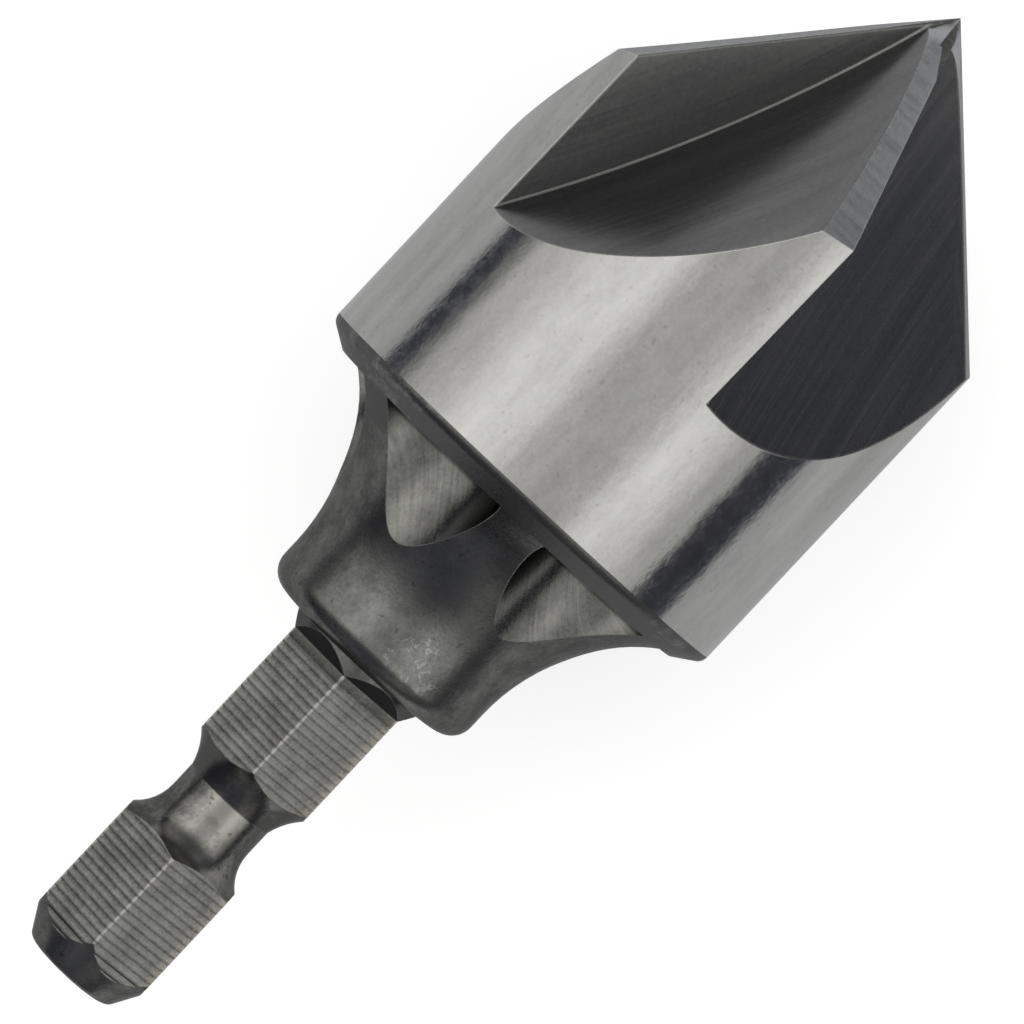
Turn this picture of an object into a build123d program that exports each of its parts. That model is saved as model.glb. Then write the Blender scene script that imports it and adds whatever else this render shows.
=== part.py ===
from build123d import *
import math
import os

# A countersink bit for a power driver, made from one steel bar: turned, milled and ground.
# The tool axis is X. The origin is the middle of the shank's end face, +X runs to the point
# and +Z is up. Azimuths turn right-handed about +X, starting from +Z. Lengths are in mm,
# angles in degrees.

# Lengths along the tool, one after the other
shank_length = 19.55  # end face to the rear face of the hub
hub_length = 1.99  # hub, with its rounding, up to the start of the flare
head_length = 18.73  # rear face of the rim to the foot of the cone
# The flare and the cone get their lengths from their radii and angle.

# Head
head_diameter = 23.0
point_angle = 90.0  # included angle of the cutting cone
land_relief_angle = 5.0  # the lands fall away by this behind their cutting edges
rim_chamfer_depth = 1.25  # across the tool
rim_chamfer_length = 0.8  # along the tool
rim_rounding = 0.6  # between the chamfer and the ground diameter
rim_ledge_width = 0.3  # flat ring between the flare and the chamfer

# Hub and flare
hub_diameter = 11.66
hub_rounding = 1.15
flare_radius = 9.42

# Hexagon shank
hex_across_flats = 6.35
stock_diameter = 7.36  # round bar that the flats are milled into, up to sharp corners
end_face_diameter = 4.8
end_taper_angle = 30.0  # between the lead-in taper and the tool axis
end_rounding = 0.4
collar_length = 0.15  # round bar left between the flats and the hub
runout_angle = 36.5  # slope up which the cutter leaves each flat

# Fine grooves across the flats
ridge_pitch = 0.4
ridge_groove_width = 0.15
ridge_groove_depth = 0.05

# Groove for the balls of a quick-change chuck
neck_diameter = 4.7
neck_start = 9.5
neck_length = 1.28
rear_flank_radius = 2.4
front_flank_radius = 3.4
front_flank_angle = 14.0  # slope of the front flank where it leaves the neck

# Pockets milled into the flare, parallel to the tool, up to the rear face of the rim
pocket_count = 6
pocket_cutter_diameter = 8.0
pocket_floor_height = 0.6  # above the surface of the hub
first_pocket_azimuth = 37.1

# Flutes, ground by the corner of a large wheel
flute_count = 5
first_flute_azimuth = 17.4
rake_lead = 0.1  # cutting face ahead of the tool axis, at the foot of the cone
axial_rake_angle = 0.8
wheel_diameter = 156.0
wheel_flank_angle = 4.05  # the wheel grows wider by this, away from the cutting face
flute_tail_length = 9.4  # foot of the cone back to where the wheel leaves the head
point_web_radius = 0.7  # tool axis to the bottom of the flute, at the height of the point

head_radius = head_diameter / 2
hub_radius = hub_diameter / 2
stock_radius = stock_diameter / 2
flat_height = hex_across_flats / 2
chamfer_inner_radius = head_radius - rim_chamfer_depth
flare_end_radius = chamfer_inner_radius - rim_ledge_width


def arc_reach(radius, rise):
    """Length along the tool of an arc that starts parallel to it and rises by this much."""
    return math.sqrt(radius**2 - (radius - rise) ** 2)


def arc_turn(radius, rise):
    """Angle through which that arc turns."""
    return math.degrees(math.acos(1 - rise / radius))


flare_start = shank_length + hub_length
rim_face = flare_start + arc_reach(flare_radius, flare_end_radius - hub_radius)
cone_foot = rim_face + head_length
cone_length = head_radius / math.tan(math.radians(point_angle / 2))
point = cone_foot + cone_length


def turned_blank():
    """The bit before milling and grinding: one outline turned about the tool axis."""
    end_radius = end_face_diameter / 2
    taper_length = (stock_radius - end_radius) / math.tan(math.radians(end_taper_angle))
    neck_radius = neck_diameter / 2
    neck_end = neck_start + neck_length
    neck_rise = stock_radius - neck_radius
    groove_start = neck_start - arc_reach(rear_flank_radius, neck_rise)
    rear_turn = arc_turn(rear_flank_radius, neck_rise)
    front_slope = math.radians(front_flank_angle)
    front_centre_x = neck_end - front_flank_radius * math.sin(front_slope)
    front_centre_y = neck_radius + front_flank_radius * math.cos(front_slope)
    front_rise = stock_radius - (front_centre_y - front_flank_radius)
    groove_end = front_centre_x + arc_reach(front_flank_radius, front_rise)
    front_turn = arc_turn(front_flank_radius, front_rise) - front_flank_angle
    flare_turn = arc_turn(flare_radius, flare_end_radius - hub_radius)
    hub_rounding_centre = (shank_length + hub_rounding, hub_radius - hub_rounding)
    rim_turn = math.degrees(math.atan(rim_chamfer_depth / rim_chamfer_length))
    rim_tangent = rim_rounding * math.tan(math.radians(rim_turn / 2))
    rim_rounding_end = rim_face + rim_chamfer_length + rim_tangent

    with BuildPart() as blank:
        with BuildSketch(Plane.XY):
            with BuildLine():
                Line((point, 0), (0, 0))
                Polyline(
                    (0, 0),
                    (0, end_radius),
                    (taper_length, stock_radius),
                    (groove_start, stock_radius),
                )
                CenterArc(
                    (neck_start, neck_radius + rear_flank_radius),
                    rear_flank_radius,
                    -90 - rear_turn,
                    rear_turn,
                )
                Line((neck_start, neck_radius), (neck_end, neck_radius))
                CenterArc(
                    (front_centre_x, front_centre_y),
                    front_flank_radius,
                    -90 + front_flank_angle,
                    front_turn,
                )
                Polyline(
                    (groove_end, stock_radius),
                    (shank_length, stock_radius),
                    (shank_length, hub_radius - hub_rounding),
                )
                CenterArc(hub_rounding_centre, hub_rounding, 180, -90)
                Line((shank_length + hub_rounding, hub_radius), (flare_start, hub_radius))
                CenterArc((flare_start, hub_radius + flare_radius), flare_radius, -90, flare_turn)
                rim_arc = CenterArc(
                    (rim_rounding_end, head_radius - rim_rounding),
                    rim_rounding,
                    90 + rim_turn,
                    -rim_turn,
                )
                Polyline(
                    (rim_face, flare_end_radius),
                    (rim_face, chamfer_inner_radius),
                    rim_arc @ 0,
                )
                Polyline((rim_rounding_end, head_radius), (cone_foot, head_radius), (point, 0))
            make_face()
        revolve(axis=Axis.X)
        end_edge = blank.edges().filter_by(GeomType.CIRCLE).sort_by(Axis.X)[0]
        fillet(end_edge, end_rounding)
    return blank.part


def flat_cutter():
    """Sweep of the mill that cuts one flat, its fine grooves and its run-out, facing +Z."""
    clear_height = stock_diameter  # well outside the bar
    runout_slope = math.tan(math.radians(runout_angle))
    wall = shank_length - collar_length / 2  # here the cutter is already clear of the bar
    wall_height = stock_radius + runout_slope * collar_length / 2
    flat_end = wall - (wall_height - flat_height) / runout_slope
    ridge_count = int(flat_end / ridge_pitch)

    bottom = [(-stock_radius, flat_height)]
    for ridge in range(ridge_count):
        groove_middle = (ridge + 0.5) * ridge_pitch
        bottom.append((groove_middle - ridge_groove_width / 2, flat_height))
        bottom.append((groove_middle, flat_height - ridge_groove_depth))
        bottom.append((groove_middle + ridge_groove_width / 2, flat_height))
    bottom.append((flat_end, flat_height))

    with BuildPart() as cutter:
        with BuildSketch(Plane.XZ):
            with BuildLine():
                Polyline(
                    *bottom,
                    (wall, wall_height),
                    (wall, clear_height),
                    (-stock_radius, clear_height),
                    (-stock_radius, flat_height),
                )
            make_face()
        extrude(amount=stock_radius, both=True)
    return cutter.part


def pocket_cutter():
    """Sweep of the end mill that cuts one pocket of the flare, on the +Z side."""
    cutter_radius = pocket_cutter_diameter / 2
    cutter_offset = hub_radius + pocket_floor_height + cutter_radius
    start = Plane(origin=(shank_length, 0, cutter_offset), x_dir=(0, 1, 0), z_dir=(1, 0, 0))
    cutter = extrude(start * Circle(cutter_radius), rim_face - shank_length)
    return cutter


def relief_cutter():
    """What is ground off one land of the cone, behind the cutting edge that faces +Z.

    The ground surface is a cone that is tilted about the cutting edge, with the same point.
    """
    edge_lead = 1.5  # the whole land is relieved, right from its cutting edge
    sector_lead = 15.0  # the tool starts in the open flute ahead of the cutting edge
    start = cone_foot - head_radius * math.tan(math.radians(land_relief_angle))
    reach = head_diameter  # well outside the head
    half_sector = 180 / flute_count
    half_width = reach * math.tan(math.radians(half_sector))
    across = Plane(origin=(start, 0, 0), x_dir=(0, 0, 1), z_dir=(1, 0, 0))
    outline = Polygon((0, 0), (reach, -half_width), (reach, half_width), align=None)
    sector = extrude(across * outline, point - start)
    sector = sector.rotate(Axis.X, sector_lead - half_sector)
    ground_length = 2 * cone_length
    ground = Cone(
        ground_length * math.tan(math.radians(point_angle / 2)),
        0,
        ground_length,
        align=(Align.CENTER, Align.CENTER, Align.MAX),
    )
    ground = Pos(point, 0, 0) * Rot(0, 0, land_relief_angle) * Rot(0, 90, 0) * ground
    return sector - ground.rotate(Axis.X, edge_lead)


def grinding_wheel():
    """Grinding wheel in place for the flute whose cutting face stands up from the axis on +Z."""
    wheel_radius = wheel_diameter / 2
    wheel_width = head_radius  # reaches from the cutting face out of the side of the head
    flank_growth = wheel_width * math.tan(math.radians(wheel_flank_angle))

    # In the cutting face, the wheel's rim leaves the head at the flute's tail and passes the
    # point at the web's radius. The wheel's centre is found from these two places.
    drop = head_radius - point_web_radius
    run = flute_tail_length + cone_length
    chord = math.hypot(drop, run)
    centre_distance = math.sqrt(wheel_radius**2 - (chord / 2) ** 2)
    centre_height = (head_radius + point_web_radius) / 2 + centre_distance * run / chord
    centre_advance = (cone_length - flute_tail_length) / 2 + centre_distance * drop / chord

    rake = math.radians(axial_rake_angle)
    along = Vector(math.cos(rake), -math.sin(rake), 0)
    away = Vector(-math.sin(rake), -math.cos(rake), 0)
    centre = Vector(cone_foot, -rake_lead, centre_height) + along * centre_advance
    wheel = Cone(
        wheel_radius,
        wheel_radius + flank_growth,
        wheel_width,
        align=(Align.CENTER, Align.CENTER, Align.MIN),
    )
    return Plane(origin=centre, x_dir=(0, 0, 1), z_dir=away) * wheel


def around_axis(tool, count, first_azimuth):
    """Copies of a tool at equal turns about the tool axis."""
    return [tool.rotate(Axis.X, first_azimuth + turn * 360 / count) for turn in range(count)]


flat_count = 6
bit = turned_blank()
bit -= around_axis(flat_cutter(), flat_count, 180 / flat_count)
bit -= around_axis(pocket_cutter(), pocket_count, first_pocket_azimuth)
bit -= around_axis(grinding_wheel(), flute_count, first_flute_azimuth)
bit -= around_axis(relief_cutter(), flute_count, first_flute_azimuth)

os.makedirs("parts", exist_ok=True)
export_step(bit, "parts/countersink_bit.step")
print("overall length", round(point, 2), "mm, volume", round(bit.volume), "mm3")
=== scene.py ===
import math

import bpy
import numpy as np
from mathutils import Matrix, Vector


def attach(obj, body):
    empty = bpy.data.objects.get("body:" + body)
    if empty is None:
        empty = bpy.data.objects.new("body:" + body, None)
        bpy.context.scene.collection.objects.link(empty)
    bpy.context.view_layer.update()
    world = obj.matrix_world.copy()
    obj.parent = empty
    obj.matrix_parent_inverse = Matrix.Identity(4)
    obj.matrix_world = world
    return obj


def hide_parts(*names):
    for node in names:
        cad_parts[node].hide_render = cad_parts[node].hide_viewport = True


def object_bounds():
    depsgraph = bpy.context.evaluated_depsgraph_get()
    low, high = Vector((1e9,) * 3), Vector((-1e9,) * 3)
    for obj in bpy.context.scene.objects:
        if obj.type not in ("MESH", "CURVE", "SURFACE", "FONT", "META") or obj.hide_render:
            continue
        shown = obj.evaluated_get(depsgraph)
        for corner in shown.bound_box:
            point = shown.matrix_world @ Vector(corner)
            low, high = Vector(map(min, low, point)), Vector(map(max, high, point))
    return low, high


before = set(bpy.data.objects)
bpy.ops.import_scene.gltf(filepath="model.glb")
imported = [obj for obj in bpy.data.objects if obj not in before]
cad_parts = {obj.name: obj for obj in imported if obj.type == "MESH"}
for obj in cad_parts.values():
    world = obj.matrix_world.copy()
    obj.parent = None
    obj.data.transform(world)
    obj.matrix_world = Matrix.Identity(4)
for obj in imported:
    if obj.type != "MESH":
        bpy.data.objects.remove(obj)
cad_box = [list(corner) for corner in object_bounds()]
scene = bpy.context.scene
MM = 1000  # millimetres in a metre

# Camera: where the photograph was taken from, found from the outline and the edges it shows
eye = Vector((0.035973, -0.000083, 0.232690))
aim = Vector((0.029182, -0.000468, 0))
roll = math.radians(46.87)
forward = (aim - eye).normalized()
across = forward.cross(Vector((1, 0, 0))).normalized()
along = across.cross(forward)
right = math.sin(roll) * across + math.cos(roll) * along
up = -math.cos(roll) * across + math.sin(roll) * along
camera_data = bpy.data.cameras.new("camera")
camera_data.sensor_width = 36
camera_data.lens = 179.18
camera_data.clip_start = 0.001
camera = bpy.data.objects.new("camera", camera_data)
scene.collection.objects.link(camera)
camera.matrix_world = Matrix.Translation(eye) @ Matrix((right, up, -forward)).transposed().to_4x4()
scene.camera = camera
scene.view_settings.view_transform = "Standard"

# The bit's sizes, as in the solid, in millimetres and radians. x runs along the bit from the
# shank's end, and azimuths run from +Z to -Y.
SHANK, HUB, HEAD = 19.55, 1.99, 18.73  # lengths, one after the other
HEAD_R, HUB_R, HUB_ROUND, FLARE_R = 11.5, 5.83, 1.15, 9.42
RIM_DEPTH, RIM_LENGTH, RIM_ROUND, RIM_LEDGE = 1.25, 0.8, 0.6, 0.3
STOCK_R, NECK_R, NECK_START, NECK_END = 3.68, 2.35, 9.5, 10.78
REAR_R, FRONT_R, FRONT_SLOPE = 2.4, 3.4, math.radians(14)
END_R, END_TAPER, END_ROUND = 2.4, math.radians(30), 0.4
FLAT, PITCH, GROOVE = 3.175, 0.4, 0.15
LAST_GROOVE = 18.28  # no fine groove is cut beyond, towards the run-out
POCKET_R, POCKET_OUT, POCKET_AT = 4.0, 10.43, math.radians(37.1)
FLUTE_AT, FLUTE_STEP = math.radians(17.4), math.radians(72)
RAKE, RAKE_LEAD = math.radians(0.8), 0.1
WHEEL_R, WHEEL_FLANK, TAIL, WEB = 78.0, math.radians(4.05), 9.4, 0.7
RELIEF, RELIEF_LEAD = math.radians(5), math.radians(1.5)
HUB_ARC = SHANK + HUB
FLARE_END = HEAD_R - RIM_DEPTH - RIM_LEDGE
RIM_FACE = HUB_ARC + math.sqrt(FLARE_R**2 - (FLARE_R - FLARE_END + HUB_R) ** 2)
RIM_END = RIM_FACE + RIM_LENGTH + RIM_ROUND * math.tan(math.atan(RIM_DEPTH / RIM_LENGTH) / 2)
CONE_FOOT = RIM_FACE + HEAD
POINT = CONE_FOOT + HEAD_R

# Place of the grinding wheel's middle, ahead of the foot of the cone and above the axis
drop, run = HEAD_R - WEB, TAIL + POINT - CONE_FOOT
chord = math.hypot(drop, run)
reach = math.sqrt(WHEEL_R**2 - (chord / 2) ** 2)
WHEEL_UP = (HEAD_R + WEB) / 2 + reach * run / chord
WHEEL_ON = (POINT - CONE_FOOT - TAIL) / 2 + reach * drop / chord


# Mesh: the bit's own shape, with the true normal of each turned, milled or ground surface
def unit(v):
    """v with its length made 1."""
    return v / np.maximum(np.linalg.norm(v, axis=-1, keepdims=True), 1e-12)


def turned(profile):
    """A surface of revolution from a function of (x, r) that gives distance and normal.

    A surface is a function of places, in millimetres, that gives how far off they lie and which
    way it faces next to them.
    """

    def surface(p):
        x, y, z = p[..., 0], p[..., 1], p[..., 2]
        r = np.maximum(np.hypot(y, z), 1e-9)
        distance, nx, nr = profile(x, r)
        return distance, unit(np.stack([nx + 0 * x, nr * y / r, nr * z / r], -1))

    return surface


def ring(cx, cr, radius, low, high, inward=False):
    """An arc of the profile about (cx, cr), between two places along the bit.

    It faces away from its centre, or towards it if inward.
    """

    def profile(x, r):
        dx, dr = x - cx, r - cr
        length = np.maximum(np.hypot(dx, dr), 1e-9)
        outside = np.maximum(np.maximum(low - x, x - high), 0)
        sign = -1 if inward else 1
        return np.abs(length - radius) + outside, sign * dx / length, sign * dr / length

    return turned(profile)


def slant(x0, r0, x1, r1):
    """A straight stretch of the profile; the metal is on its inner side."""
    length = math.hypot(x1 - x0, r1 - r0)
    tx, tr = (x1 - x0) / length, (r1 - r0) / length

    def profile(x, r):
        along_it = (x - x0) * tx + (r - r0) * tr
        outside = np.maximum(np.maximum(-along_it, along_it - length), 0)
        return np.abs((x - x0) * -tr + (r - r0) * tx) + outside, -tr, tx

    return turned(profile)


def disc(at_x):
    """A flat ring or end that faces the shank's end."""
    return turned(lambda x, r: (np.abs(x - at_x), -1, 0))


def hex_flat(p):
    """The flat of the hexagon that faces +Z."""
    return np.abs(p[..., 2] - FLAT), np.broadcast_to(np.array([0, 0, 1]), p.shape)


def about_x(p, angle):
    """p turned about the tool axis by an azimuth, which runs from +Z to -Y."""
    c, s = math.cos(angle), math.sin(angle)
    return np.stack([p[..., 0], p[..., 1] * c - p[..., 2] * s, p[..., 1] * s + p[..., 2] * c], -1)


def placed(surface, angle):
    """The surface turned about the tool axis."""

    def at(p):
        distance, normal = surface(about_x(p, -angle))
        return distance, about_x(normal, angle)

    return at


def pocket(p):
    """The wall of the pocket on the +Z side."""
    d = p - np.array([0, 0, POCKET_OUT])
    d[..., 0] = 0
    length = np.linalg.norm(d, axis=-1)
    return np.abs(length - POCKET_R), -unit(d)


# The flute whose cutting face stands up on +Z
along_flute = np.array([math.cos(RAKE), -math.sin(RAKE), 0])
off_rake = np.array([-math.sin(RAKE), -math.cos(RAKE), 0])
flute_foot = np.array([CONE_FOOT, -RAKE_LEAD, 0])
wheel_hub = flute_foot + along_flute * WHEEL_ON + np.array([0, 0, WHEEL_UP])


def rake_face(p):
    """Its cutting face."""
    return np.abs((p - flute_foot) @ off_rake), np.broadcast_to(off_rake, p.shape)


def flute_back(p):
    """Its floor and back, ground by the rim of the wheel."""
    t = (p - flute_foot) @ off_rake
    q = p - wheel_hub
    q = q - (q @ off_rake)[..., None] * off_rake
    w = np.linalg.norm(q, axis=-1)
    normal = -unit(q) * math.cos(WHEEL_FLANK) + off_rake * math.sin(WHEEL_FLANK)
    return np.abs(w - WHEEL_R - t * math.tan(WHEEL_FLANK)) * math.cos(WHEEL_FLANK), normal


def land(p):
    """The land behind its cutting edge: a cone tilted about the edge."""
    axis = np.array([math.cos(RELIEF), math.sin(RELIEF), 0])
    q = about_x(p - np.array([POINT, 0, 0]), -RELIEF_LEAD)
    a = q @ axis
    side = q - a[..., None] * axis
    w = np.linalg.norm(side, axis=-1)
    normal = unit(unit(side) + axis)
    return np.abs(w + a) * math.sqrt(0.5), about_x(normal, RELIEF_LEAD)


# The kinds of surface, each with a material of its own, and the bit's surfaces with their kinds
GROUND, OXIDE, RIM, POCKETS, RAKES, BACKS, LANDS, FLATS, NECK, RUNOUTS = range(10)
neck_rise = math.acos(1 - (STOCK_R - NECK_R) / REAR_R)
rear_low = NECK_START - REAR_R * math.sin(neck_rise)
front_x = NECK_END - FRONT_R * math.sin(FRONT_SLOPE)
front_r = NECK_R + FRONT_R * math.cos(FRONT_SLOPE)
taper_end = (STOCK_R - END_R) / math.tan(END_TAPER)
end_cr = END_R - END_ROUND * math.tan((math.pi / 2 - END_TAPER) / 2)
surfaces = [
    (OXIDE, ring(END_ROUND, end_cr, END_ROUND, 0, END_ROUND)),
    (OXIDE, slant(0, END_R, taper_end, STOCK_R)),
    (NECK, ring(NECK_START, NECK_R + REAR_R, REAR_R, rear_low, NECK_START, True)),
    (NECK, slant(NECK_START, NECK_R, NECK_END, NECK_R)),
    (NECK, ring(front_x, front_r, FRONT_R, NECK_END, NECK_END + FRONT_R, True)),
    (OXIDE, slant(NECK_END + FRONT_R, STOCK_R, SHANK, STOCK_R)),
    (OXIDE, disc(SHANK)),
    (OXIDE, ring(SHANK + HUB_ROUND, HUB_R - HUB_ROUND, HUB_ROUND, SHANK, SHANK + HUB_ROUND)),
    (OXIDE, slant(SHANK + HUB_ROUND, HUB_R, HUB_ARC, HUB_R)),
    (OXIDE, ring(HUB_ARC, HUB_R + FLARE_R, FLARE_R, HUB_ARC, RIM_FACE, True)),
    (RIM, disc(RIM_FACE)),
    (RIM, slant(RIM_FACE, HEAD_R - RIM_DEPTH, RIM_FACE + RIM_LENGTH, HEAD_R)),
    (RIM, ring(RIM_END, HEAD_R - RIM_ROUND, RIM_ROUND, RIM_FACE, RIM_END)),
    (GROUND, slant(RIM_END, HEAD_R, CONE_FOOT, HEAD_R)),
]
for k in range(6):
    surfaces.append((POCKETS, placed(pocket, POCKET_AT + k * math.pi / 3)))
    surfaces.append((FLATS, placed(hex_flat, (k + 0.5) * math.pi / 3)))
for k in range(5):
    for kind, face in ((RAKES, rake_face), (BACKS, flute_back), (LANDS, land)):
        surfaces.append((kind, placed(face, FLUTE_AT + k * FLUTE_STEP)))

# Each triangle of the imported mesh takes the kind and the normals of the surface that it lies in.
# Where none fits, it keeps its own normal and counts as milled flat. How far its own normal is
# from the surface's counts too, and more on the shank, where surfaces cross at low angles.
FARTHEST = 0.004
TURN_ON_HEAD, TURN_ON_SHANK = 0.012, 0.05
RUNOUT_FACES = 0.57  # a run-out's normal has at least this share towards the shank's end

bit_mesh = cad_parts["countersink_bit"].data.copy()
bit_mesh.name = "bit"
count = len(bit_mesh.polygons)
points = np.empty(len(bit_mesh.vertices) * 3)
bit_mesh.vertices.foreach_get("co", points)
points = points.reshape(-1, 3) * MM
corners = np.empty(count * 3, int)
bit_mesh.loops.foreach_get("vertex_index", corners)
corners = corners.reshape(-1, 3)
tri = points[corners]
flat_normal = unit(np.cross(tri[:, 1] - tri[:, 0], tri[:, 2] - tri[:, 0]))
first_x, last_x = tri[:, :, 0].min(1), tri[:, :, 0].max(1)
best = np.full(count, FARTHEST)
turn_counts = np.where(first_x > SHANK, TURN_ON_HEAD, TURN_ON_SHANK)
kinds = np.full(count, FLATS)
kinds[last_x < 0.001] = OXIDE  # the end face
normals = np.repeat(flat_normal[:, None], 3, 1)
for kind, surface in surfaces:
    distance, normal = surface(tri)
    turn = (normal * flat_normal[:, None]).sum(-1).min(1)
    worst = distance.max(1) + turn_counts * (1 - turn)
    hit = worst < best
    best[hit] = worst[hit]
    kinds[hit] = kind
    normals[hit] = normal[hit]
near_hub = first_x > SHANK - 2
kinds[(kinds == FLATS) & near_hub & (flat_normal[:, 0] < -RUNOUT_FACES)] = RUNOUTS

# The fine grooves of the flats are worn soft: the normals turn over their edges
GROOVE_LEAN = 0.3
off_end = first_x > 0.01
milled = (kinds == FLATS) & off_end & (np.abs(flat_normal[:, 0]) < RUNOUT_FACES)
flat_turn = np.arctan2(-flat_normal[:, 1], flat_normal[:, 2]) / (math.pi / 3)
flat_turn = (np.round(flat_turn - 0.5) + 0.5) * math.pi / 3  # azimuth of the flat's middle
level = np.stack([0 * flat_turn, -np.sin(flat_turn), np.cos(flat_turn)], -1)
from_groove = (tri[:, :, 0] / PITCH) % 1 * PITCH - PITCH / 2
near = np.abs(from_groove)
to_middle = (PITCH / 2 - near) / (PITCH / 2 - GROOVE / 2)
lean = np.where(near < GROOVE / 2, near / (GROOVE / 2), to_middle)
lean = -GROOVE_LEAN * np.sign(from_groove) * lean * (tri[:, :, 0] < LAST_GROOVE)
soft = unit(level[:, None] + lean[..., None] * np.array([1, 0, 0]))
normals[milled] = soft[milled]

bit_mesh.polygons.foreach_set("use_smooth", np.ones(count, bool))
bit_mesh.normals_split_custom_set(normals.reshape(-1, 3).tolist())
bit_mesh.materials.clear()
bit = bpy.data.objects.new("bit", bit_mesh)
scene.collection.objects.link(bit)
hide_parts("countersink_bit")
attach(bit, "root")


# Materials, in nodes
class Num:
    """A number or a vector that nodes work out."""

    def __init__(self, tree, socket):
        self.tree, self.socket = tree, socket

    def node(self, kind, *values, **settings):
        """The first output of a new node, with values for its inputs in their order."""
        made = self.tree.nodes.new(kind)
        for name, value in settings.items():
            setattr(made, name, value)
        for socket, value in zip(made.inputs, values):
            feed(socket, value)
        return Num(self.tree, made.outputs[0])

    def math(self, operation, *others):
        return self.node("ShaderNodeMath", self, *others, operation=operation)

    def __add__(self, other):
        return self.math("ADD", other)

    def __sub__(self, other):
        return self.math("SUBTRACT", other)

    def __mul__(self, other):
        return self.math("MULTIPLY", other)

    def step(self, low, high, start=0.0, end=1.0):
        """Goes smoothly from start, at low, to end, at high."""
        values = self, low, high, start, end
        return self.node("ShaderNodeMapRange", *values, interpolation_type="SMOOTHSTEP")


def feed(socket, value):
    """Links a Num to an input, or sets a plain value on it."""
    if isinstance(value, Num):
        value.tree.links.new(value.socket, socket)
    else:
        socket.default_value = value


def axes(tree, kind):
    """The three parts of a kind of texture coordinate."""
    split = tree.nodes.new("ShaderNodeSeparateXYZ")
    tree.links.new(tree.nodes.new("ShaderNodeTexCoord").outputs[kind], split.inputs[0])
    return [Num(tree, output) for output in split.outputs]


def ray_is(tree, kind):
    """1 for one kind of ray and 0 for the rest."""
    return Num(tree, tree.nodes.new("ShaderNodeLightPath").outputs[f"Is {kind} Ray"])


def mixed(tree, factor, a, b):
    """The colour a where factor is 0, and b where it is 1."""
    mix = tree.nodes.new("ShaderNodeMix")
    mix.data_type = "RGBA"
    feed(mix.inputs["Factor"], factor)
    for name, value in (("A", a), ("B", b)):
        socket = [s for s in mix.inputs if s.name == name and s.type == "RGBA"][0]
        feed(socket, value if isinstance(value, Num) else (*value, 1))
    return Num(tree, [s for s in mix.outputs if s.type == "RGBA"][0])


def noise(x, y, z, detail=3.0, roughness=0.5):
    """Cloudy noise from 0 to 1, about 1 unit from blotch to blotch."""
    place = x.node("ShaderNodeCombineXYZ", x, y, z)
    made = x.node("ShaderNodeTexNoise", place)
    texture = made.socket.node
    texture.inputs["Scale"].default_value = 1.0
    texture.inputs["Detail"].default_value = detail
    texture.inputs["Roughness"].default_value = roughness
    return made


class Surface:
    """A material in the making: places on the bit, in millimetres, then its finish."""

    def __init__(self, name):
        self.material = bpy.data.materials.new(name)
        self.material.use_nodes = True
        self.tree = self.material.node_tree
        self.x, self.y, self.z = (part * MM for part in axes(self.tree, "Object"))
        self.r = (self.y * self.y + self.z * self.z).math("SQRT")
        self.azimuth = (self.y * -1).math("ARCTAN2", self.z)

    def turned_noise(self, per_mm, stretch_x=1.0, stretch_round=1.0, detail=3.0, roughness=0.5):
        """Noise on a turned surface, drawn out along the bit or round it."""
        lengthwise, crosswise = per_mm / stretch_x, per_mm / stretch_round
        return noise(self.x * lengthwise, self.y * crosswise, self.z * crosswise, detail, roughness)

    def edges(self, rounded):
        """1 at the edges, where a rounded normal leaves the surface's own."""
        geometry = self.tree.nodes.new("ShaderNodeNewGeometry")
        dot = self.tree.nodes.new("ShaderNodeVectorMath")
        dot.operation = "DOT_PRODUCT"
        feed(dot.inputs[0], rounded)
        self.tree.links.new(geometry.outputs["Normal"], dot.inputs[1])
        return Num(self.tree, dot.outputs["Value"]).step(0.99, 0.92)

    def finish(
        self, dark, light, shade, gloss, relief, depth, edge,
        edge_width=0.07, wear_and_highlight=None, bare=0.0, grazing=0.6,
    ):
        """The finished material.

        dark and light are the colours that shade goes between, gloss is the roughness, and relief
        is the height, up to depth. Edges look rounded over edge_width. They take the colour edge,
        partly as wear and partly as a painted highlight, in inside corners too; more where bare is
        above 0 and less where it is below, unless a mask for them is given.
        grazing dims what the metal mirrors at a low angle.
        """
        shader = self.tree.nodes["Principled BSDF"]
        shader.inputs["Metallic"].default_value = 1
        shader.inputs["Specular Tint"].default_value = (grazing, grazing, grazing, 1)
        bump = self.tree.nodes.new("ShaderNodeBump")
        bump.inputs["Distance"].default_value = depth / MM
        feed(bump.inputs["Height"], relief)
        if edge_width:
            rounded = self.x.node("ShaderNodeBevel", edge_width / MM)
            feed(bump.inputs["Normal"], rounded)
        # The edge colour is partly wear and partly a painted highlight, along inside corners as
        # well
        if wear_and_highlight is None:
            wear_and_highlight = self.edges(rounded) + bare
        body = mixed(self.tree, shade, dark, light)
        feed(shader.inputs["Base Color"], mixed(self.tree, wear_and_highlight, body, edge))
        feed(shader.inputs["Roughness"], gloss)
        self.tree.links.new(bump.outputs["Normal"], shader.inputs["Normal"])
        return self.material


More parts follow.
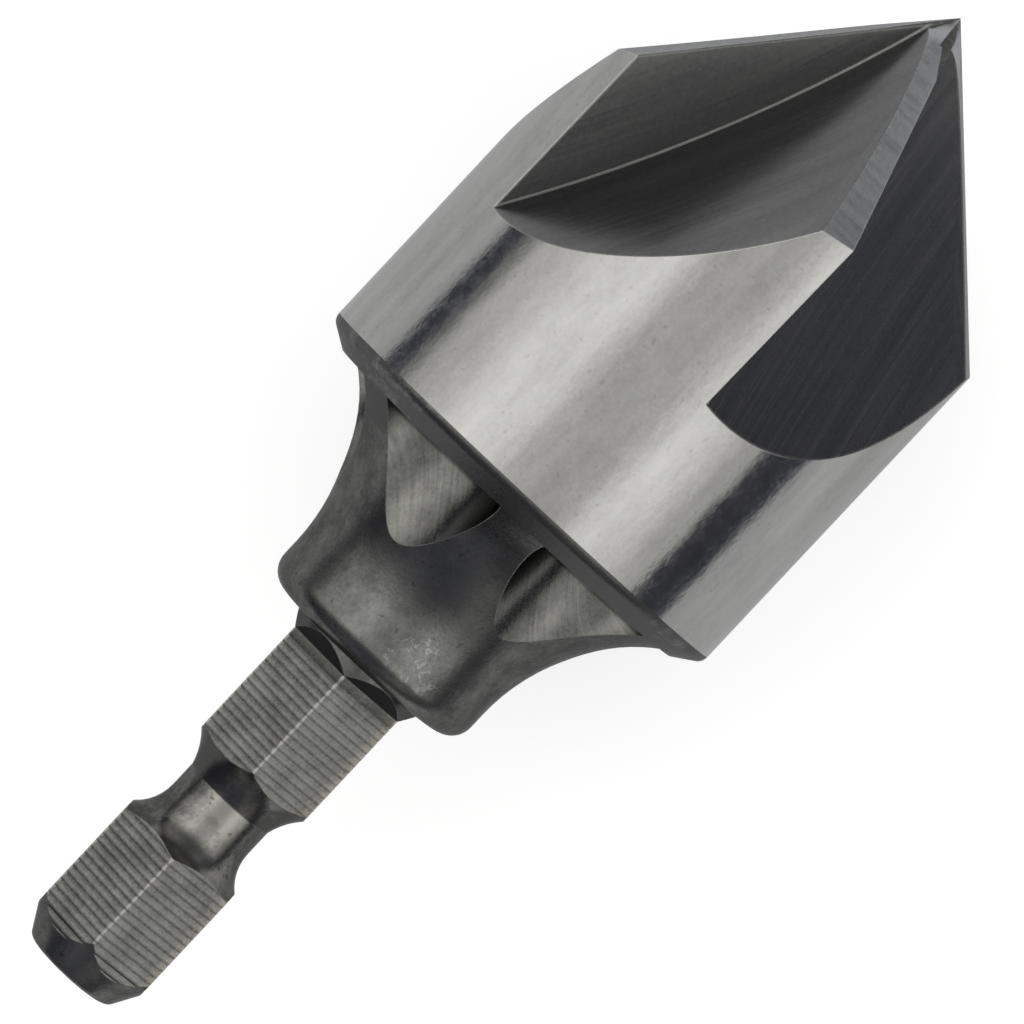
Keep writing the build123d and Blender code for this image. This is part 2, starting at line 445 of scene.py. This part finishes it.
def ground():
    """The cylinder: ground round the bit, then stained and scuffed."""
    m = Surface("ground")
    blotch = m.turned_noise(0.5, stretch_x=3, stretch_round=0.7)
    grain = m.turned_noise(6, stretch_round=1.5, detail=5, roughness=0.65)
    mottle = m.turned_noise(1.8, stretch_x=1.6, detail=3, roughness=0.6)
    bands = noise(m.azimuth * 7, m.x * 0.06, 0, detail=3)
    pits = m.turned_noise(2.6, detail=2).step(0.66, 0.72)
    stains = blotch * 0.25 + bands * 0.35 + grain * 0.2 + mottle * 0.2
    return m.finish(
        (0.38, 0.38, 0.38),
        (0.55, 0.55, 0.545),
        stains.step(0.32, 0.68) - pits * 0.35,
        gloss=(grain + mottle).step(0.7, 1.3, 0.1, 0.18),
        relief=grain * 0.4 + mottle * 0.9,
        depth=0.009,
        edge=(0.85, 0.85, 0.84),
        grazing=1,
    )


def oxide(
    name, dark, light, gloss, edge_width=0.07, wear_and_highlight=None, painted_top_and_bottom_light=0.0, depth=0.008, seam=0.0
):
    """Black oxide, rubbed and scratched.

    Its upper and lower sides are painted lighter than the sides between them, as light falls on a
    round part, by the amount given for that, and darker where it is below 0. seam is how dark the
    line round the rim is.
    """
    m = Surface(name)
    blotch = m.turned_noise(0.8, detail=5, roughness=0.6)
    grain = m.turned_noise(5, detail=5, roughness=0.7)
    pits = m.turned_noise(2.4, detail=1).step(0.68, 0.73)
    rubbed = m.turned_noise(0.3, detail=2).step(0.46, 0.6)
    scuffs = noise(m.x * 0.7, m.azimuth * 30, 3, detail=2).step(0.66, 0.74)
    crossing = noise(m.x * 7, m.azimuth * 2.5, 5, detail=2).step(0.68, 0.76)
    scuffs = scuffs.math("MAXIMUM", crossing)
    # Painted light and shade: the upper and the lower side lighter than the sides between them, as
    # light falls on a round part, or the other way round where the amount is below 0
    painted_sides = (m.azimuth * 2 - 0.35).math("COSINE").step(-0.2, 0.9, -painted_top_and_bottom_light, painted_top_and_bottom_light)

    # Curly scratches in a spot on the hub
    spot_x, spot_azimuth = 21.3, 0.35
    off_x, off_round = (m.x - spot_x) * 0.6, (m.azimuth - spot_azimuth) * 3.2
    scratches = noise(m.x * 1.8, m.azimuth * 9, 3, detail=3) - 0.5
    scratches = scratches.math("ABSOLUTE").step(0.03, 0.012)
    scratches = scratches * m.turned_noise(1.5, detail=1).step(0.46, 0.56)
    scratches = scratches * (off_x * off_x + off_round * off_round).step(1.1, 0.5)

    # Painted shade: on the flare under the rim and on the rim itself, round the run-outs and the
    # collar, and on the front flank of the neck
    painted_shade = m.x.step(RIM_FACE - 2.4, RIM_FACE - 0.2)
    painted_shade = painted_shade + m.x.step(18.4, 18.9) * m.x.step(SHANK + 0.1, SHANK)
    front = m.x.step(NECK_END - 0.02, NECK_END + 0.1)
    painted_shade = painted_shade + front * m.x.step(NECK_END + FRONT_R, NECK_END + 2) * 0.7

    # The collar meets the hub in an inside corner, which gets neither wear nor the painted
    # highlight of the edges
    corner = (m.x - SHANK).math("ABSOLUTE").step(0.2, 0.15) * m.r.step(4.2, 4.0)
    line = (m.x - (RIM_FACE + 0.5)).math("ABSOLUTE").step(0.08, 0.02)
    shade = (blotch * 0.65 + grain * 0.35).step(0.28, 0.72) + scuffs * rubbed * 0.6
    shade = shade + painted_sides - pits * 0.5 - painted_shade * 0.7 - line * seam
    return m.finish(
        dark,
        light,
        shade,
        gloss=(blotch * 0.5 + grain * 0.5).step(0.3, 0.7, gloss + 0.05, gloss - 0.05),
        relief=grain,
        depth=depth,
        edge=tuple(2 * part for part in light),
        edge_width=edge_width,
        wear_and_highlight=wear_and_highlight,
        bare=scratches * 0.45 - corner,
    )


def pockets():
    """The pockets: milled, with slanting marks, with a painted shadow deep under the rim and
    painted shade on their sides next to the ridges above and below.
    """
    m = Surface("pockets")
    slant_of_marks = m.azimuth * -8.0
    lengthwise, crosswise = (m.x + slant_of_marks) * 0.12, (m.x - slant_of_marks) * 4
    streaks = noise(lengthwise, crosswise, m.r * 0.3, detail=4, roughness=0.6)
    blotch = m.turned_noise(0.8, detail=4)
    grain = m.turned_noise(6, detail=5, roughness=0.7)
    # Painted shadow where the pockets meet the face of the rim
    painted_shadow_under_rim = m.x.step(RIM_FACE - 0.3, RIM_FACE - 0.08)
    # Painted shade on each pocket's side next to the ridges at the top and the bottom, towards the
    # rim
    painted_shade = ((m.azimuth - math.radians(7)) * 2).math("COSINE").step(0.7, 0.93)
    painted_shade = painted_shade * (m.x + m.r * 0.3).step(RIM_FACE - 2.2, RIM_FACE + 0.6)
    shade = (streaks * 0.3 + blotch * 0.35 + grain * 0.35).step(0.28, 0.72)
    return m.finish(
        (0.09, 0.09, 0.089),
        (0.28, 0.28, 0.265),
        shade - painted_shadow_under_rim * 0.9 - painted_shade * 1.1,
        gloss=grain.step(0.3, 0.7, 0.2, 0.28),
        relief=streaks * 0.5 + grain * 0.5,
        depth=0.01,
        edge=(0.4, 0.4, 0.39),
        bare=m.x.step(RIM_FACE - 0.2, RIM_FACE - 0.12) * -1,
    )


def flute(name, dark, light, by_wheel_rim, gloss):
    """Ground in one pass of the wheel, whose marks are arcs about its middle.

    The wheel's flank leaves marks at equal distances from its middle, on the cutting face. Its
    rim leaves marks at equal depths behind that face.
    """
    m = Surface(name)
    before = math.radians(10)  # each flute's share of the head starts ahead of its cutting face
    turn = m.azimuth - FLUTE_AT + before
    turn = turn - (turn * (1 / FLUTE_STEP)).math("FLOOR") * FLUTE_STEP - before
    y, z = turn.math("SINE") * m.r * -1, turn.math("COSINE") * m.r
    ahead = m.x - CONE_FOOT
    if by_wheel_rim:
        place = (ahead * -math.sin(RAKE)) - (y + RAKE_LEAD) * math.cos(RAKE)
    else:
        dx, dz = ahead - WHEEL_ON, z - WHEEL_UP
        place = (dx * dx + dz * dz).math("SQRT") - WHEEL_R
    streaks = noise(place * 6, m.x * 0.1, turn * 0.5, detail=5, roughness=0.65)
    wide = noise(place * 0.9, m.x * 0.07, turn * 0.3, detail=2)
    grain = m.turned_noise(4, detail=4, roughness=0.7)
    scratch = noise(place * 14, m.x * 0.35, turn * 0.5, detail=1).step(0.72, 0.8)
    scratch = scratch * m.turned_noise(0.4, detail=1).step(0.5, 0.62)
    dust = m.turned_noise(1.7, detail=1).step(0.77, 0.8)
    shade = (streaks * 0.15 + wide * 0.45 + grain * 0.4).step(0.3, 0.7)
    return m.finish(
        dark,
        light,
        shade + dust + scratch * 0.5,
        gloss=streaks.step(0.3, 0.7, gloss - 0.03, gloss + 0.04),
        relief=streaks * 0.5 + grain * 0.5,
        depth=0.003,
        edge=(0.5, 0.5, 0.48),
        edge_width=0.2,
    )


def lands():
    """The lands of the cone: ground bright, with marks across and aslant."""
    m = Surface("lands")
    marks = noise(m.x * 3, m.r * 0.2, m.azimuth * 1.0, detail=4)
    crossing = noise(m.x * 6 + m.azimuth * 30, m.r * 0.2, m.azimuth * 2.0, detail=3)
    grain = m.turned_noise(6, detail=4, roughness=0.7)
    return m.finish(
        (0.46, 0.47, 0.49),
        (0.64, 0.65, 0.67),
        (marks * 0.25 + crossing * 0.25 + grain * 0.5).step(0.3, 0.7),
        gloss=marks.step(0.3, 0.7, 0.25, 0.35),
        relief=marks,
        depth=0.002,
        edge=(0.75, 0.75, 0.75),
    )


def flats():
    """The flats of the hexagon, darker in their fine grooves, one painted lighter as if lit, and
    with bright corners that are partly wear and partly a painted highlight.
    """
    m = Surface("flats")
    from_groove = (m.x * (1 / PITCH)).math("FRACT") - 0.5
    groove = from_groove.math("ABSOLUTE").step(0.32, 0.08)
    blotch = m.turned_noise(0.8, detail=4)
    grain = m.turned_noise(6, detail=5, roughness=0.7)
    sixths = m.azimuth * (3 / math.pi)
    from_corner = (sixths - sixths.math("ROUND")).math("ABSOLUTE") * m.r * (math.pi / 3)
    uneven = noise(m.x * 4, sixths.math("ROUND") * 5, 0, detail=3)
    # Bright corners of the hexagon: partly wear, partly a painted highlight
    wear_and_highlight = (from_corner + uneven * 0.2).step(0.19, 0.13)

    # Painted light: one flat is painted brighter than the rest, with less shade in its grooves, and
    # with a painted warm sheen along one side
    painted_lit_flat = (m.azimuth - math.radians(30)).math("COSINE").step(0.84, 0.88)
    painted_warm_sheen = m.azimuth.step(0.6, 0.8) * painted_lit_flat * (from_corner + blotch * 0.8).step(0.9, 0.5)
    light = mixed(m.tree, painted_warm_sheen, (0.37, 0.37, 0.355), (0.56, 0.53, 0.47))

    # Painted shade on the flats towards the run-outs
    painted_runout_shade = m.x.step(LAST_GROOVE - 0.6, LAST_GROOVE + 0.4)
    shade = (blotch * 0.4 + grain * 0.6).step(0.3, 0.7) + painted_lit_flat * 0.22 - painted_runout_shade * 0.5
    return m.finish(
        (0.15, 0.15, 0.145),
        light,
        shade - groove * (painted_lit_flat * -0.2 + 0.34),
        gloss=grain.step(0.3, 0.7, 0.33, 0.43),
        relief=grain,
        depth=0.01,
        edge=(0.54, 0.53, 0.51),
        edge_width=0.06,
        wear_and_highlight=wear_and_highlight,
    )


makers = {
    GROUND: ground(),
    OXIDE: oxide("oxide", (0.115, 0.115, 0.114), (0.245, 0.245, 0.238), 0.27, painted_top_and_bottom_light=0.22),
    RIM: oxide(
        "rim", (0.14, 0.14, 0.14), (0.4, 0.4, 0.395), 0.3,
        edge_width=0, wear_and_highlight=0, painted_top_and_bottom_light=-0.22, depth=0.02, seam=0.4,
    ),
    POCKETS: pockets(),
    RAKES: flute("rakes", (0.155, 0.159, 0.162), (0.25, 0.253, 0.254), False, 0.3),
    BACKS: flute("backs", (0.185, 0.188, 0.192), (0.265, 0.265, 0.265), True, 0.24),
    LANDS: lands(),
    FLATS: flats(),
    NECK: oxide("neck", (0.11, 0.11, 0.108), (0.345, 0.34, 0.322), 0.22, painted_top_and_bottom_light=0.4),
    # The run-outs: the oxide made darker, as painted shade
    RUNOUTS: oxide("runouts", (0.06, 0.06, 0.06), (0.11, 0.11, 0.11), 0.32),
}
for kind in sorted(makers):
    bit_mesh.materials.append(makers[kind])
bit_mesh.polygons.foreach_set("material_index", kinds.astype(np.int32))

# Floor: pale and plain, white where nothing shades it. It glows for the camera, and less in
# what the metal mirrors.
GLOW, MIRRORED_GLOW = 0.67, 0.2
floor_z = cad_box[0][2]
floor_mesh = bpy.data.meshes.new("floor")
sheet = [(x, y, floor_z) for x, y in ((-0.07, -0.17), (0.22, -0.17), (0.22, 0.3), (-0.07, 0.3))]
floor_mesh.from_pydata(sheet, [], [(0, 1, 2, 3)])
floor = bpy.data.objects.new("floor", floor_mesh)
scene.collection.objects.link(floor)
pale = bpy.data.materials.new("floor")
pale.use_nodes = True
shader = pale.node_tree.nodes["Principled BSDF"]
shader.inputs["Base Color"].default_value = (0.79, 0.795, 0.81, 1)
shader.inputs["Roughness"].default_value = 1
shader.inputs["Specular IOR Level"].default_value = 0
shader.inputs["Emission Color"].default_value = (1, 1, 1, 1)
mirrored = ray_is(pale.node_tree, "Glossy").math("MAXIMUM", ray_is(pale.node_tree, "Transmission"))
seen = (mirrored * MIRRORED_GLOW).math("MAXIMUM", ray_is(pale.node_tree, "Camera"))
feed(shader.inputs["Emission Strength"], seen * GLOW)
floor_mesh.materials.append(pale)

# Light: a soft studio, made in the world by the angle round the bit, in degrees from overhead
# towards -Y, and by the direction along it. Two soft boxes stand either side of overhead, the
# walls are dark low down, and the camera sees white paper.
world = bpy.data.worlds.new("world")
scene.world = world
world.use_nodes = True
tree = world.node_tree
x, y, z = axes(tree, "Generated")
round_it = (y * -1).math("ARCTAN2", z) * (180 / math.pi)
left_box = round_it.step(-80, -26) * round_it.step(0, -25)
right_box = round_it.step(18, 39) * round_it.step(66, 40)
walls = round_it.step(-86, -69) * round_it.step(74.5, 71.5)
lengthwise = x.step(-0.52, -0.22) * x.step(0.72, 0.38) * 0.91 + 0.09
ends = x.step(0.75, 0.95) * 0.17 + x.step(-0.8, -0.97) * 0.05  # a glow past both ends
slanting = (x * y).step(0.25, 0.45) * 0.3  # and one on opposite sides of the point and the shank
lengthwise = lengthwise + ends + slanting
tent = walls * lengthwise * (left_box + right_box * 0.95 + 1.0) * 0.5
tint = mixed(tree, tent.step(0.0, 0.2), (0.92, 0.96, 1.16), (1, 0.99, 0.95))
paper = ray_is(tree, "Camera")
background = tree.nodes["Background"]
feed(background.inputs["Color"], mixed(tree, paper, tint, (1, 1, 1)))
feed(background.inputs["Strength"], (tent * 1.2 + 0.06).math("MAXIMUM", paper))
